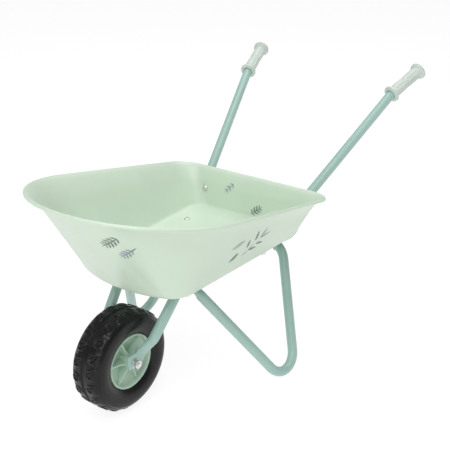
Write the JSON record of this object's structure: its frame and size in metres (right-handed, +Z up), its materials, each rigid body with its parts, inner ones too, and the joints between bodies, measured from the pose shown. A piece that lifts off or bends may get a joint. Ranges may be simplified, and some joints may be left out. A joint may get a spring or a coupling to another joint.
{
  "type": "wheelbarrow",
  "caption": "Child's steel wheelbarrow: pressed tray on bent tube frame, splayed legs, moulded grips and one moulded wheel turning on a bolted axle.",
  "frame": {"origin": "on the ground under the middle of the barrow's box, standing on its wheel and legs", "axes": "+X towards the user's left, +Y backwards to the grips, +Z up; the wheel is at the -Y end"},
  "size_m": [0.3904, 0.7682, 0.4726],
  "materials": {
    "tray_enamel": "satin pale mint enamel",
    "tube_enamel": "satin sage enamel",
    "grip_plastic": "matt pale grey-green moulding",
    "tyre": "satin black moulding",
    "hub_plastic": "satin sage moulding",
    "bush_plastic": "plain white nylon",
    "zinc": "bright zinc plate"
  },
  "bodies": {
    "frame": {"tray": "tray_enamel", "left_frame_tube": "tube_enamel", "right_frame_tube": "tube_enamel", "leg_stand": "tube_enamel", "left_grip": "grip_plastic", "right_grip": "grip_plastic", "axle_sleeve": "zinc", "axle_bolt": "zinc", "axle_nut": "zinc", "axle_washers": "zinc", "front_floor_bolts": "zinc", "front_floor_washers": "zinc", "front_floor_nuts": "zinc", "rear_floor_bolts": "zinc", "rear_floor_washers": "zinc", "rear_floor_nuts": "zinc", "rear_wall_bolts": "zinc", "rear_wall_washers": "zinc", "rear_wall_nuts": "zinc", "crossbar_screws": "zinc"},
    "wheel": {"tyre": "tyre", "left_hub_half": "hub_plastic", "right_hub_half": "hub_plastic", "left_hub_bush": "bush_plastic", "right_hub_bush": "bush_plastic"}
  },
  "joints": [
    {"name": "wheel_spin", "type": "hinge", "parent": "frame", "child": "wheel", "pos_m": [0, -0.27446, 0.086], "axis": [1, 0, 0], "continuous": true}
  ]
}
